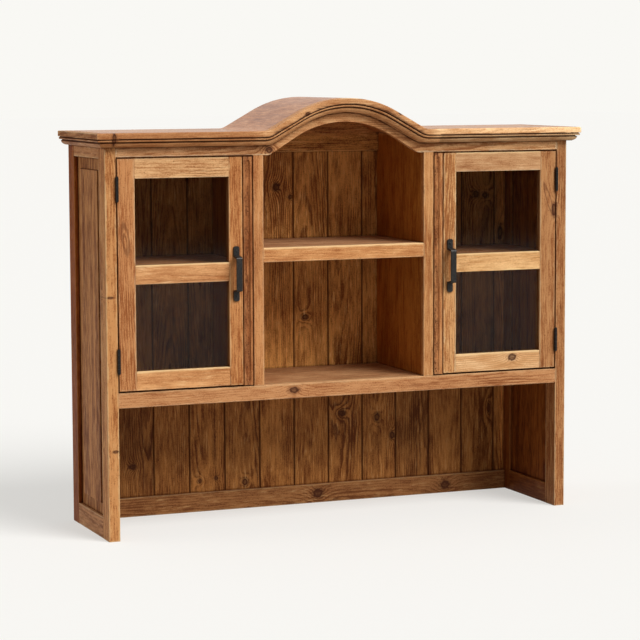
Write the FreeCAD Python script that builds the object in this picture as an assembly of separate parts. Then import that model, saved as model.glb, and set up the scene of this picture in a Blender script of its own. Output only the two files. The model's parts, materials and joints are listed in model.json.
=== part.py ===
import FreeCAD, Part
import math
import os

# Upper hutch of a step back cupboard, in pine: frame-and-panel sides that run down as
# legs, an open niche under the deck, an open centre bay with one shelf under an arched
# crown, and a glazed cupboard with a hinged door on each side of the bay.
#
# While it is drawn, X runs to the viewer's right from the middle, Y runs back from the
# front face of the legs, and Z runs up from the floor. Everything is in millimetres.
# The finished pieces are moved along Y so that the origin is at the bottom centre of
# the box round the whole cupboard.

# ---------------------------------------------------------------- driving sizes
case_width = 1500.0             # over the two side frames
case_depth = 373.0              # front of the legs to the back
wing_height = 1195.0            # floor to the top of the crown beside the arch

# arched crown over the bay: a big arc, a straight slope and a small hollow at each foot
arch_rise = 95.5
arch_slope = math.radians(29.0)
arch_foot_radius = 45.0
arch_foot_overlap = 5.6         # how far the foot lies outside the bay's wall
top_thickness = 19.0            # wing top boards and the arched top

# crown moulding, outwards and downwards from its top edge
crown_front_overhang = 37.0
crown_side_overhang = 32.0
crown_height = 42.0
fascia_height = 17.0
fascia_round = 3.5
upper_quirk_width = 2.0         # narrow step between the fascia and the bead
bead_diameter = 6.5
bead_setback = 6.0              # fascia face to the middle of the bead
lower_quirk_width = 2.5         # narrow step between the bead and the fillet
lower_quirk_setback = 13.0      # fascia face to the bottom of that step
fillet_setback = 9.5            # fascia face to the fillet over the ovolo
fillet_height = 2.5
ovolo_foot_setback = 20.5       # fascia face to the foot of the ovolo
ovolo_swell = 2.0               # how far the ovolo rises above a straight slope
ovolo_foot_height = 1.0

# side frames
side_thickness = 34.0
front_stile_width = 62.0
rear_stile_width = 59.0
side_bottom_rail_height = 64.0
side_top_rail_height = 56.0
panel_outer_depth = 13.0        # outer face of the frame to the panel's margin
panel_tongue = 11.0             # thickness of the panel's margin
panel_groove_depth = 10.0
panel_play = 1.5                # room for the panel to swell
field_margin = 34.0
field_raise = 7.0
field_bevel = 3.0

# deck, partitions and shelves
deck_rail_height = 45.0
deck_top = 438.0
board_thickness = 22.0
front_rail_depth = 22.0         # deck rail, shelf edge and frieze, front to back
partition_thickness = 32.0
bay_width = 523.0               # clear width of the centre bay
centre_shelf_rise = 410.0       # deck to the top of the centre shelf
shelf_edge_height = 42.5
shelf_dado = 8.0
cabinet_shelf_drop = 4.0        # top of the doors' middle rail to the shelf's top
cabinet_shelf_setback = 30.0
cleat_size = 18.0
cleat_setback = 10.0            # behind the front edge of what it carries
cleat_rear_gap = 20.0           # short of the back boards

# arched frieze
frieze_height = 52.0
frieze_extra_rise = 0.5         # arch of its lower edge, above the crown's rise
frieze_slope = math.radians(31.5)
frieze_foot_radius = 25.0
frieze_foot_inset = 13.2        # how far the foot lies inside the bay's wall

# back
back_board_thickness = 13.0
back_board_pitch = 117.25
first_board_width = 115.0
least_board_width = 30.0
board_rebate = 10.0             # side rebate that takes the outermost boards
joint_chamfer = 2.5
tongue_length = 7.0
tongue_thickness = 5.0
tongue_play = 0.5
back_rail_depth = 25.5
back_rail_lap = 12.0            # how far the boards lap behind the rails
back_bottom_rail_height = 60.0
back_top_rail_height = 57.0

# doors
door_thickness = 22.0
door_side_gap = 3.0
door_lock_gap = 2.5
door_bottom_gap = 5.0
door_top_gap = 3.0
hinge_stile_width = 53.0
lock_stile_width = 42.5
door_top_rail_height = 58.5
door_mid_rail_height = 56.0
door_bottom_rail_height = 56.0
lower_glass_height = 255.0
glass_rebate = 8.0
door_lip = 12.0                 # wood in front of the glass
glass_thickness = 3.0
glass_play = 1.0
door_tenon_length = 25.0
door_tenon_thickness = 8.0
door_tenon_front = 6.0
door_tenon_haunch = 12.0

# fluted strike strips
strip_width = 31.5
strip_thickness = 20.0
strip_end_gap = 3.0
flute_width = 11.0
flute_depth = 4.5
flute_from_door = 16.0          # door side of the strip to the middle of the flute
flute_end = 10.0
strip_quirk_width = 3.5
strip_quirk_depth = 4.0

# strap pulls
pull_width = 18.0
pull_thickness = 5.0
pull_projection = 31.0
pull_length = 163.0
pull_drop = 6.5                 # middle of the mid rail to the middle of the pull
pull_tab = 27.0
pull_leg_slope = 4.0
pull_corner_round = 7.0
pull_inner_round = 2.5
pull_end_round = 6.0
screw_radius = 1.75
screw_head_radius = 3.8
screw_head_height = 2.0
screw_bite = 15.0
screw_hole_play = 0.2

# butt hinges
hinge_length = 70.0
hinge_inset = 88.0              # end of the door to the middle of its hinge
barrel_radius = 4.5
barrel_clearance = 0.5          # barrel to the front face of the wood
leaf_thickness = 2.0
leaf_space = 0.6                # between the two closed leaves
leaf_rear_margin = 2.0          # leaf to the rear face of the door
pin_radius = 2.2
pin_running_clearance = 0.06
pin_head_radius = 3.4
pin_head_height = 2.5
knuckle_count = 5
knuckle_gap = 0.4
leaf_cut_clearance = 0.4

# magnet catches
catch_width = 30.0
catch_height = 14.0
catch_length = 38.0
catch_plate_thickness = 1.2
catch_plate_width = 26.0
catch_plate_height = 11.0
catch_gap = 0.3

near = 0.01                     # how closely an edge must lie to be the one meant

# ---------------------------------------------------------------- worked-out sizes
half_case = case_width / 2
half_inside = half_case - side_thickness
half_bay = bay_width / 2
partition_outer = half_bay + partition_thickness
strip_outer = partition_outer + strip_width
frame_top = wing_height - top_thickness
frieze_bottom = frame_top - frieze_height
side_top_rail_bottom = frame_top - side_top_rail_height
rear_stile_front = case_depth - rear_stile_width
deck_bottom = deck_top - deck_rail_height
board_front = case_depth - back_board_thickness
back_rail_front = case_depth - back_rail_depth
back_top_rail_bottom = frame_top - back_top_rail_height
boards_bottom = back_bottom_rail_height - back_rail_lap
boards_top = back_top_rail_bottom + back_rail_lap

door_hinge_edge = half_inside - door_side_gap
door_lock_edge = strip_outer + door_lock_gap
door_bottom = deck_top + door_bottom_gap
door_top = frieze_bottom - door_top_gap
glass_outer_x = door_hinge_edge - hinge_stile_width
glass_inner_x = door_lock_edge + lock_stile_width
lower_glass_bottom = door_bottom + door_bottom_rail_height
mid_rail_bottom = lower_glass_bottom + lower_glass_height
mid_rail_top = mid_rail_bottom + door_mid_rail_height
upper_glass_top = door_top - door_top_rail_height

centre_shelf_top = deck_top + centre_shelf_rise
cabinet_shelf_top = mid_rail_top - cabinet_shelf_drop
cleat_rear = board_front - cleat_rear_gap

pull_x = door_lock_edge + lock_stile_width / 2
pull_middle = (mid_rail_bottom + mid_rail_top) / 2 - pull_drop
pull_top = pull_middle + pull_length / 2
pull_bottom = pull_middle - pull_length / 2

hinge_axis_x = half_inside - door_side_gap / 2
hinge_axis_y = -(barrel_radius + barrel_clearance)
hinge_middles = (door_bottom + hinge_inset, door_top - hinge_inset)

front_most = max(crown_front_overhang, pull_projection, barrel_radius - hinge_axis_y)
origin_y = (case_depth - front_most) / 2


# ---------------------------------------------------------------- helpers
def point(x, y, z):
    return FreeCAD.Vector(x, y, z)


def block(x0, x1, y0, y1, z0, z1):
    """A box between two corners."""
    return Part.makeBox(x1 - x0, y1 - y0, z1 - z0, point(x0, y0, z0))


def mirrored(shape):
    """The same shape on the other side of the middle."""
    return shape.mirror(point(0, 0, 0), point(1, 0, 0))


def joined(shapes):
    """One solid made of several that overlap or share faces."""
    return shapes[0].fuse(shapes[1:]).removeSplitter()


def extruded(edges, direction):
    """A closed outline carried along a direction."""
    wire = Part.Wire(Part.__sortEdges__(edges))
    return Part.Face(wire).extrude(direction)


def polygon(points, direction):
    """A straight-sided outline carried along a direction."""
    return Part.Face(Part.makePolygon(points + points[:1])).extrude(direction)


pieces = {}


def add(name, shape):
    """Keep a finished piece under its node's name."""
    pieces[name] = shape


def add_pair(name, shape):
    """Keep the left piece as drawn and its mirror image as the right one."""
    add("left_" + name, shape)
    add("right_" + name, mirrored(shape))


# ---------------------------------------------------------------- arches
def arch_radius_for(rise, foot, foot_radius, slope):
    """Radius of the big arc of an arch, from where its hollow feet meet the level."""
    run_per_radius = math.sin(slope) - (1 - math.cos(slope)) / math.tan(slope)
    both_radii = (foot - rise / math.tan(slope)) / run_per_radius
    return both_radii - foot_radius


def arch_points(level, rise, foot, foot_radius, slope, radius):
    """Functions that give a point on the big arc, and on the foot's arc of one side."""
    centre_z = level + rise - radius
    foot_centre_z = level + foot_radius

    def on_arch(angle):
        return point(radius * math.sin(angle), 0, centre_z + radius * math.cos(angle))

    def on_foot(side, angle):
        x = foot - foot_radius * math.sin(angle)
        return point(side * x, 0, foot_centre_z - foot_radius * math.cos(angle))

    return on_arch, on_foot


def arch_edges(level, rise, foot, foot_radius, slope, radius):
    """The line of an arch from its left foot to its right foot, on the front plane."""
    on_arch, on_foot = arch_points(level, rise, foot, foot_radius, slope, radius)
    left_foot = Part.Arc(on_foot(-1, 0), on_foot(-1, slope / 2), on_foot(-1, slope))
    middle = Part.Arc(on_arch(-slope), on_arch(0), on_arch(slope))
    right_foot = Part.Arc(on_foot(1, slope), on_foot(1, slope / 2), on_foot(1, 0))
    return [
        left_foot.toShape(),
        Part.makeLine(on_foot(-1, slope), on_arch(-slope)),
        middle.toShape(),
        Part.makeLine(on_arch(slope), on_foot(1, slope)),
        right_foot.toShape(),
    ]


crown_foot_x = half_bay + arch_foot_overlap
crown_radius = arch_radius_for(arch_rise, crown_foot_x, arch_foot_radius, arch_slope)


def crown_edges(offset):
    """The crown's arch line, lowered by an offset measured square to the line."""
    return arch_edges(wing_height - offset, arch_rise, crown_foot_x,
                      arch_foot_radius + offset, arch_slope, crown_radius - offset)


# ---------------------------------------------------------------- side frames
def side_frame():
    """Stiles, rails and raised panel of the left side."""
    outer = -half_case
    inner = -half_inside
    groove_outer = outer + panel_outer_depth
    groove_inner = groove_outer + panel_tongue
    panel_front = front_stile_width - panel_groove_depth
    panel_rear = rear_stile_front + panel_groove_depth
    panel_bottom = side_bottom_rail_height - panel_groove_depth
    panel_top = side_top_rail_bottom + panel_groove_depth

    front_stile = block(outer, inner, 0, front_stile_width, 0, frame_top)
    front_stile = front_stile.cut(block(groove_outer, groove_inner, panel_front,
                                        front_stile_width, 0, frame_top))
    for middle in hinge_middles:
        front_stile = front_stile.cut(leaf_plate(middle, -1))
    add_pair("side_front_stile", front_stile)

    rear_stile = block(outer, inner, rear_stile_front, case_depth, 0, frame_top)
    rear_stile = rear_stile.cut(block(groove_outer, groove_inner, rear_stile_front,
                                      panel_rear, 0, frame_top))
    rear_stile = rear_stile.cut(block(inner - board_rebate, inner, board_front,
                                      case_depth, boards_bottom, boards_top))
    add_pair("side_rear_stile", rear_stile)

    def rail(bottom, top, tenon_bottom, tenon_top, groove_bottom, groove_top):
        body = block(outer, inner, front_stile_width, rear_stile_front, bottom, top)
        tenon = block(groove_outer, groove_inner, panel_front, panel_rear,
                      tenon_bottom, tenon_top)
        groove = block(groove_outer, groove_inner, front_stile_width,
                       rear_stile_front, groove_bottom, groove_top)
        return joined([body.cut(groove), tenon])

    add_pair("side_top_rail", rail(side_top_rail_bottom, frame_top, panel_top,
                                   frame_top, side_top_rail_bottom, panel_top))
    add_pair("side_bottom_rail", rail(0, side_bottom_rail_height, 0, panel_bottom,
                                      panel_bottom, side_bottom_rail_height))

    board = block(groove_outer, groove_inner, panel_front + panel_play,
                  panel_rear - panel_play, panel_bottom, panel_top - panel_play)
    add_pair("side_panel", joined([board, raised_field(groove_outer)]))


def raised_field(margin_face):
    """The raised middle of the panel, with a small bevel all round."""
    def outline(x, inset):
        front = front_stile_width + field_margin + inset
        rear = rear_stile_front - field_margin - inset
        bottom = side_bottom_rail_height + field_margin + inset
        top = side_top_rail_bottom - field_margin - inset
        corners = [point(x, front, bottom), point(x, rear, bottom),
                   point(x, rear, top), point(x, front, top)]
        return Part.makePolygon(corners + corners[:1])

    foot = outline(margin_face, 0)
    face = outline(margin_face - field_raise, field_bevel)
    return Part.makeLoft([foot, face], True, True)


# ---------------------------------------------------------------- inside of the case
def partitions():
    """Left and right walls of the centre bay, notched round the frieze and back rail."""
    outline = [
        point(-partition_outer, 0, deck_top),
        point(-partition_outer, board_front, deck_top),
        point(-partition_outer, board_front, back_top_rail_bottom),
        point(-partition_outer, back_rail_front, back_top_rail_bottom),
        point(-partition_outer, back_rail_front, frame_top),
        point(-partition_outer, front_rail_depth, frame_top),
        point(-partition_outer, front_rail_depth, frieze_bottom),
        point(-partition_outer, 0, frieze_bottom),
    ]
    wall = polygon(outline, point(partition_thickness, 0, 0))
    dado = block(-half_bay - shelf_dado, -half_bay, front_rail_depth, board_front,
                 centre_shelf_top - board_thickness, centre_shelf_top)
    add_pair("partition", wall.cut(dado))


def strike_strips():
    """Fluted strip on the outer face of each partition, which the door closes beside."""
    bottom = deck_top + strip_end_gap
    top = frieze_bottom - strip_end_gap
    strip = block(-strip_outer, -partition_outer, 0, strip_thickness, bottom, top)
    radius = ((flute_width / 2) ** 2 + flute_depth ** 2) / (2 * flute_depth)
    flute_x = -(strip_outer - flute_from_door)
    flute_y = flute_depth - radius
    low = bottom + flute_end + radius
    high = top - flute_end - radius
    cutter = Part.makeCylinder(radius, high - low, point(flute_x, flute_y, low))
    for end in (low, high):
        cutter = cutter.fuse(Part.makeSphere(radius, point(flute_x, flute_y, end)))
    strip = strip.cut(cutter)
    quirk = block(-partition_outer - strip_quirk_width, -partition_outer, 0,
                  strip_quirk_depth, bottom, top)
    add_pair("strike_strip", strip.cut(quirk))


def deck():
    """Bottom board over the niche, and the rail along its front edge."""
    add("deck_front_rail", block(-half_inside, half_inside, 0, front_rail_depth,
                                 deck_bottom, deck_top))
    add("deck_board", block(-half_inside, half_inside, front_rail_depth, board_front,
                            deck_top - board_thickness, deck_top))


def shelves():
    """Centre shelf let into the partitions, and the two shelves behind the doors."""
    shelf_end = half_bay + shelf_dado
    add("centre_shelf", block(-shelf_end, shelf_end, front_rail_depth, board_front,
                              centre_shelf_top - board_thickness, centre_shelf_top))
    add("centre_shelf_edge", block(-half_bay, half_bay, 0, front_rail_depth,
                                   centre_shelf_top - shelf_edge_height,
                                   centre_shelf_top))
    add_pair("cabinet_shelf", block(-half_inside, -partition_outer,
                                    cabinet_shelf_setback, board_front,
                                    cabinet_shelf_top - board_thickness,
                                    cabinet_shelf_top))


def cleats():
    """Battens that carry the cabinet shelves, and the deck at the sides."""
    shelf_under = cabinet_shelf_top - board_thickness
    deck_under = deck_top - board_thickness
    shelf_cleat_front = cabinet_shelf_setback + cleat_setback
    left_side = -half_inside
    wall = -partition_outer
    left = [
        block(left_side, left_side + cleat_size, shelf_cleat_front, cleat_rear,
              shelf_under - cleat_size, shelf_under),
        block(wall - cleat_size, wall, shelf_cleat_front, cleat_rear,
              shelf_under - cleat_size, shelf_under),
        block(left_side, left_side + cleat_size, front_rail_depth, cleat_rear,
              deck_under - cleat_size, deck_under),
    ]
    right = [mirrored(cleat) for cleat in left]
    add("shelf_cleats", Part.makeCompound(left + right))


# ---------------------------------------------------------------- frieze and crown
def frieze():
    """Face rail over the doors, arched top and bottom over the centre bay."""
    foot = half_bay - frieze_foot_inset
    rise = arch_rise + frieze_extra_rise
    radius = arch_radius_for(rise, foot, frieze_foot_radius, frieze_slope)
    edges = arch_edges(frieze_bottom, rise, foot, frieze_foot_radius, frieze_slope,
                       radius)
    edges += crown_edges(top_thickness)
    for side in (-1, 1):
        end = side * half_inside
        edges += [
            Part.makeLine(point(side * foot, 0, frieze_bottom),
                          point(end, 0, frieze_bottom)),
            Part.makeLine(point(end, 0, frieze_bottom), point(end, 0, frame_top)),
            Part.makeLine(point(end, 0, frame_top),
                          point(side * crown_foot_x, 0, frame_top)),
        ]
    add("arched_frieze_rail", extruded(edges, point(0, front_rail_depth, 0)))


def crown_section(place, backing):
    """Outline of the crown moulding.

    place turns a reach beyond the side's face and a depth below the top into a point,
    and backing is how much thicker the moulding is behind.
    """
    reach = crown_side_overhang
    bead_reach = reach - bead_setback
    bead_top = fascia_height + upper_quirk_width
    bead_foot = bead_top + bead_diameter
    quirk_reach = reach - lower_quirk_setback
    fillet_reach = reach - fillet_setback
    fillet_top = bead_foot + lower_quirk_width
    ovolo_top = fillet_top + fillet_height
    ovolo_foot = crown_height - ovolo_foot_height
    foot_reach = reach - ovolo_foot_setback
    slant = math.hypot(fillet_reach - foot_reach, ovolo_foot - ovolo_top)
    swell_reach = ovolo_swell * (ovolo_foot - ovolo_top) / slant
    swell_drop = ovolo_swell * (fillet_reach - foot_reach) / slant
    ovolo_mid_reach = (fillet_reach + foot_reach) / 2 + swell_reach
    ovolo_mid_depth = (ovolo_top + ovolo_foot) / 2 + swell_drop
    corner = fascia_round * (1 - math.sqrt(0.5))

    def line(a, b):
        return Part.makeLine(place(*a), place(*b))

    def arc(a, b, c):
        return Part.Arc(place(*a), place(*b), place(*c)).toShape()

    edges = [
        line((-backing, 0), (reach - fascia_round, 0)),
        arc((reach - fascia_round, 0), (reach - corner, corner), (reach, fascia_round)),
        line((reach, fascia_round), (reach, fascia_height)),
        line((reach, fascia_height), (bead_reach, fascia_height)),
        line((bead_reach, fascia_height), (bead_reach, bead_top)),
        arc((bead_reach, bead_top),
            (bead_reach + bead_diameter / 2, bead_top + bead_diameter / 2),
            (bead_reach, bead_foot)),
        line((bead_reach, bead_foot), (quirk_reach, bead_foot)),
        line((quirk_reach, bead_foot), (quirk_reach, fillet_top)),
        line((quirk_reach, fillet_top), (fillet_reach, fillet_top)),
        line((fillet_reach, fillet_top), (fillet_reach, ovolo_top)),
        arc((fillet_reach, ovolo_top), (ovolo_mid_reach, ovolo_mid_depth),
            (foot_reach, ovolo_foot)),
        line((foot_reach, ovolo_foot), (foot_reach, crown_height)),
        line((foot_reach, crown_height), (-backing, crown_height)),
        line((-backing, crown_height), (-backing, 0)),
    ]
    return Part.Face(Part.Wire(Part.__sortEdges__(edges)))


def crown_front():
    """Front moulding: the section run along the wings and up over the arch."""
    backing = crown_front_overhang - crown_side_overhang
    on_arch, on_foot = arch_points(wing_height, arch_rise, crown_foot_x,
                                   arch_foot_radius, arch_slope, crown_radius)
    outer_end = half_case + crown_side_overhang
    sine = math.sin(arch_slope)
    cosine = math.cos(arch_slope)

    def level_place(x):
        return lambda reach, depth: point(x, -reach - backing, wing_height - depth)

    def slope_place(start):
        return lambda reach, depth: point(start.x + sine * depth, -reach - backing,
                                          start.z - cosine * depth)

    turn = math.degrees(arch_slope)
    wing = crown_section(level_place(-outer_end), backing)
    wing = wing.extrude(point(outer_end - crown_foot_x, 0, 0))
    foot = crown_section(level_place(-crown_foot_x), backing)
    foot = foot.revolve(point(-crown_foot_x, 0, wing_height + arch_foot_radius),
                        point(0, -1, 0), turn)
    slope_start = on_foot(-1, arch_slope)
    slope_end = on_arch(-arch_slope)
    slope = crown_section(slope_place(slope_start), backing)
    slope = slope.extrude(slope_end - slope_start)
    bend = crown_section(slope_place(slope_end), backing)
    bend = bend.revolve(point(0, 0, wing_height + arch_rise - crown_radius),
                        point(0, 1, 0), turn)
    left = [wing, foot, slope, bend]
    right = [mirrored(stretch) for stretch in left]
    run = joined(left + right)
    for side in (-1, 1):
        run = run.cut(mitre_waste(side, front=True))
    add("crown_front_moulding", run)


def mitre_waste(side, front):
    """What the corner mitre takes off the front moulding, or off a return."""
    backing = crown_front_overhang - crown_side_overhang
    far = 2 * crown_front_overhang
    corner = point(-half_case, -backing, 0)
    past = point(-half_case - far, -backing - far, 0)
    if front:
        others = [point(-half_case - far, far, 0), point(-half_case, far, 0)]
    else:
        others = [point(-half_case, -backing - far, 0)]
    waste = polygon([corner, past] + others, point(0, 0, 2 * wing_height))
    if side > 0:
        waste = mirrored(waste)
    return waste


def crown_returns():
    """Moulding down each side, mitred to the front one."""
    def place(reach, depth):
        return point(-half_case - reach, -crown_front_overhang, wing_height - depth)

    length = crown_front_overhang + case_depth
    left = crown_section(place, 0).extrude(point(0, length, 0))
    left = left.cut(mitre_waste(-1, front=False))
    add("crown_left_return", left)
    add("crown_right_return", mirrored(left))


def tops():
    """Flat board over each wing, and the arched board over the centre bay."""
    add_pair("top_board", block(-half_case, -crown_foot_x, 0, case_depth,
                                frame_top, wing_height))
    edges = crown_edges(0) + crown_edges(top_thickness)
    for side in (-1, 1):
        edges.append(Part.makeLine(point(side * crown_foot_x, 0, wing_height),
                                   point(side * crown_foot_x, 0, frame_top)))
    add("arched_top", extruded(edges, point(0, case_depth, 0)))


# ---------------------------------------------------------------- back
def back_rails():
    """Rails across the bottom and top of the back, rebated for the boards."""
    bottom = block(-half_inside, half_inside, back_rail_front, case_depth,
                   0, back_bottom_rail_height)
    bottom = bottom.cut(block(-half_inside, half_inside, board_front, case_depth,
                              boards_bottom, back_bottom_rail_height))
    add("back_bottom_rail", bottom)

    edges = crown_edges(top_thickness)
    for side in (-1, 1):
        end = side * half_inside
        edges += [
            Part.makeLine(point(end, 0, back_top_rail_bottom), point(end, 0, frame_top)),
            Part.makeLine(point(end, 0, frame_top),
                          point(side * crown_foot_x, 0, frame_top)),
        ]
    edges.append(Part.makeLine(point(-half_inside, 0, back_top_rail_bottom),
                               point(half_inside, 0, back_top_rail_bottom)))
    top = extruded(edges, point(0, back_rail_depth, 0))
    top.translate(point(0, back_rail_front, 0))
    top = top.cut(block(-half_inside, half_inside, board_front, case_depth,
                        back_top_rail_bottom, boards_top))
    add("back_top_rail", top)


def back_board(left, right, has_groove, has_tongue):
    """One tongue-and-groove board, with its front edges chamfered at the joints."""
    front = board_front
    rear = case_depth
    tongue_front = (front + rear - tongue_thickness) / 2
    tongue_rear = tongue_front + tongue_thickness
    groove_end = left + tongue_length + tongue_play
    outline = [(left + joint_chamfer, front), (right - joint_chamfer, front),
               (right, front + joint_chamfer)]
    if has_tongue:
        tip = right + tongue_length
        outline += [(right, tongue_front), (tip, tongue_front),
                    (tip, tongue_rear), (right, tongue_rear)]
    outline += [(right, rear), (left, rear)]
    if has_groove:
        outline += [(left, tongue_rear), (groove_end, tongue_rear),
                    (groove_end, tongue_front), (left, tongue_front)]
    outline.append((left, front + joint_chamfer))
    corners = [point(x, y, boards_bottom) for x, y in outline]
    return polygon(corners, point(0, 0, boards_top - boards_bottom))


def back_boards():
    """Boards from one side's rebate to the other, grouped by the bay they close."""
    start = -half_inside - board_rebate
    finish = half_inside + board_rebate
    seams = [start, start + first_board_width]
    while seams[-1] + back_board_pitch < finish - least_board_width:
        seams.append(seams[-1] + back_board_pitch)
    seams.append(finish)
    bays = {"left": [], "centre": [], "right": []}
    wall = half_bay + partition_thickness / 2
    last = len(seams) - 2
    for index in range(last + 1):
        left = seams[index]
        right = seams[index + 1]
        board = back_board(left, right, index > 0, index < last)
        middle = (left + right) / 2
        bay = "centre"
        if middle < -wall:
            bay = "left"
        if middle > wall:
            bay = "right"
        bays[bay].append(board)
    for bay, boards in bays.items():
        add(bay + "_back_boards", Part.makeCompound(boards))


# ---------------------------------------------------------------- doors
def door_stile(outer, inner, glass_edge):
    """A door stile from its outer edge to its glass edge, rebated for the glass."""
    low = min(outer, inner)
    high = max(outer, inner)
    stile = block(low, high, 0, door_thickness, door_bottom, door_top)
    rebate_low = min(inner, glass_edge)
    rebate_high = max(inner, glass_edge)
    return stile.cut(block(rebate_low, rebate_high, door_lip, door_thickness,
                           door_bottom, door_top))


def door_rail(bottom, top, rebate_bottom, rebate_top):
    """A door rail with its tenons; each rebate is taken off only where glass sits."""
    low = -glass_outer_x
    high = -glass_inner_x
    rear_bottom = bottom + (glass_rebate if rebate_bottom else 0)
    rear_top = top - (glass_rebate if rebate_top else 0)
    tenon_bottom = bottom + (glass_rebate if rebate_bottom else door_tenon_haunch)
    tenon_top = top - (glass_rebate if rebate_top else door_tenon_haunch)
    lip = block(low, high, 0, door_lip, bottom, top)
    rear = block(low - glass_rebate, high + glass_rebate, door_lip, door_thickness,
                 rear_bottom, rear_top)
    tenon = block(low - door_tenon_length, high + door_tenon_length,
                  door_tenon_front, door_tenon_front + door_tenon_thickness,
                  tenon_bottom, tenon_top)
    return joined([lip, rear, tenon])


def glazing_beads(bottom, top):
    """Four mitred beads that hold one pane in its rebate."""
    low = -glass_outer_x - glass_rebate
    high = -glass_inner_x + glass_rebate
    front = door_lip + glass_thickness
    depth = door_thickness - front
    outer = [(low, bottom - glass_rebate), (high, bottom - glass_rebate),
             (high, top + glass_rebate), (low, top + glass_rebate)]
    inner = [(-glass_outer_x, bottom), (-glass_inner_x, bottom),
             (-glass_inner_x, top), (-glass_outer_x, top)]
    beads = []
    for index in range(4):
        following = (index + 1) % 4
        corners = [outer[index], outer[following], inner[following], inner[index]]
        face = [point(x, front, z) for x, z in corners]
        beads.append(polygon(face, point(0, depth, 0)))
    return beads


def door():
    """The left door: frame, glass and beads."""
    top_rail = door_rail(upper_glass_top, door_top, True, False)
    mid_rail = door_rail(mid_rail_bottom, mid_rail_top, True, True)
    bottom_rail = door_rail(door_bottom, lower_glass_bottom, False, True)
    rails = [top_rail, mid_rail, bottom_rail]

    hinge_stile = door_stile(-door_hinge_edge, -glass_outer_x,
                             -glass_outer_x - glass_rebate)
    lock_stile = door_stile(-door_lock_edge, -glass_inner_x,
                            -glass_inner_x + glass_rebate)
    for rail in rails:
        hinge_stile = hinge_stile.cut(rail)
        lock_stile = lock_stile.cut(rail)
    for middle in hinge_middles:
        hinge_stile = hinge_stile.cut(leaf_plate(middle, 1))
    for screw in pull_screws():
        lock_stile = lock_stile.cut(screw)
    add_pair("door_hinge_stile", hinge_stile)
    add_pair("door_lock_stile", lock_stile)
    add_pair("door_top_rail", top_rail)
    add_pair("door_mid_rail", mid_rail)
    add_pair("door_bottom_rail", bottom_rail)

    panes = {"upper": (mid_rail_top, upper_glass_top),
             "lower": (lower_glass_bottom, mid_rail_bottom)}
    beads = []
    for place, (bottom, top) in panes.items():
        edge = glass_rebate - glass_play
        pane = block(-glass_outer_x - edge, -glass_inner_x + edge, door_lip,
                     door_lip + glass_thickness, bottom - edge, top + edge)
        add_pair("door_" + place + "_glass", pane)
        beads += glazing_beads(bottom, top)
    add_pair("door_glazing_beads", Part.makeCompound(beads))


# ---------------------------------------------------------------- hardware
def pull_screw_heights():
    """Height of the screw in each of the pull's tabs."""
    return (pull_bottom + pull_tab / 2, pull_top - pull_tab / 2)


def pull_screws():
    """The left pull's two screws, head on the tab and shank in the stile."""
    screws = []
    for height in pull_screw_heights():
        head = Part.makeCylinder(screw_head_radius, screw_head_height,
                                 point(-pull_x, -pull_thickness, height),
                                 point(0, -1, 0))
        shank = Part.makeCylinder(screw_radius, pull_thickness + screw_bite,
                                  point(-pull_x, -pull_thickness, height),
                                  point(0, 1, 0))
        rim = screw_head_height / 2
        outer_edges = [edge for edge in head.Edges
                       if edge.BoundBox.YMax < -pull_thickness - rim]
        head = head.makeFillet(rim, outer_edges)
        screws.append(joined([head, shank]))
    return screws


def edges_across(strap, y):
    """Edges across the strap's width at one distance from the door."""
    return [edge for edge in strap.Edges
            if edge.BoundBox.XLength > pull_width / 2
            and abs(edge.BoundBox.YMin - y) < near
            and abs(edge.BoundBox.YMax - y) < near]


def end_corners(strap):
    """The four corner edges at the free ends of the strap's tabs."""
    corners = []
    for edge in strap.Edges:
        box = edge.BoundBox
        at_end = box.ZMin > pull_top - near or box.ZMax < pull_bottom + near
        if at_end and box.XLength < near:
            corners.append(edge)
    return corners


def strap_pull():
    """Bent strap: a screwed tab at each end and a grip that stands off the door."""
    face = -pull_thickness
    grip = -pull_projection
    grip_back = grip + pull_thickness
    top_bend = pull_top - pull_tab
    bottom_bend = pull_bottom + pull_tab
    outline = [
        (0, pull_top), (face, pull_top), (face, top_bend),
        (grip, top_bend - pull_leg_slope), (grip, bottom_bend + pull_leg_slope),
        (face, bottom_bend), (face, pull_bottom), (0, pull_bottom),
        (0, bottom_bend + pull_thickness),
        (grip_back, bottom_bend + pull_leg_slope + pull_thickness),
        (grip_back, top_bend - pull_leg_slope - pull_thickness),
        (0, top_bend - pull_thickness),
    ]
    left = -pull_x - pull_width / 2
    strap = polygon([point(left, y, z) for y, z in outline], point(pull_width, 0, 0))
    strap = strap.makeFillet(pull_corner_round, edges_across(strap, grip))
    strap = strap.makeFillet(pull_inner_round, edges_across(strap, grip_back))
    strap = strap.makeFillet(pull_end_round, end_corners(strap))
    for height in pull_screw_heights():
        hole = Part.makeCylinder(screw_radius + screw_hole_play, pull_thickness,
                                 point(-pull_x, -pull_thickness, height),
                                 point(0, 1, 0))
        strap = strap.cut(hole)
    return strap


def pulls():
    """Strap pull and its screws on each door."""
    add_pair("pull", strap_pull())
    add_pair("pull_screws", Part.makeCompound(pull_screws()))


def leaf_plate(middle, side):
    """Flat plate of one hinge leaf at the left leg: side 1 is the door's, -1 the leg's."""
    inside = -hinge_axis_x + side * leaf_space / 2
    outside = inside + side * leaf_thickness
    return block(min(inside, outside), max(inside, outside), hinge_axis_y,
                 door_thickness - leaf_rear_margin,
                 middle - hinge_length / 2, middle + hinge_length / 2)


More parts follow.
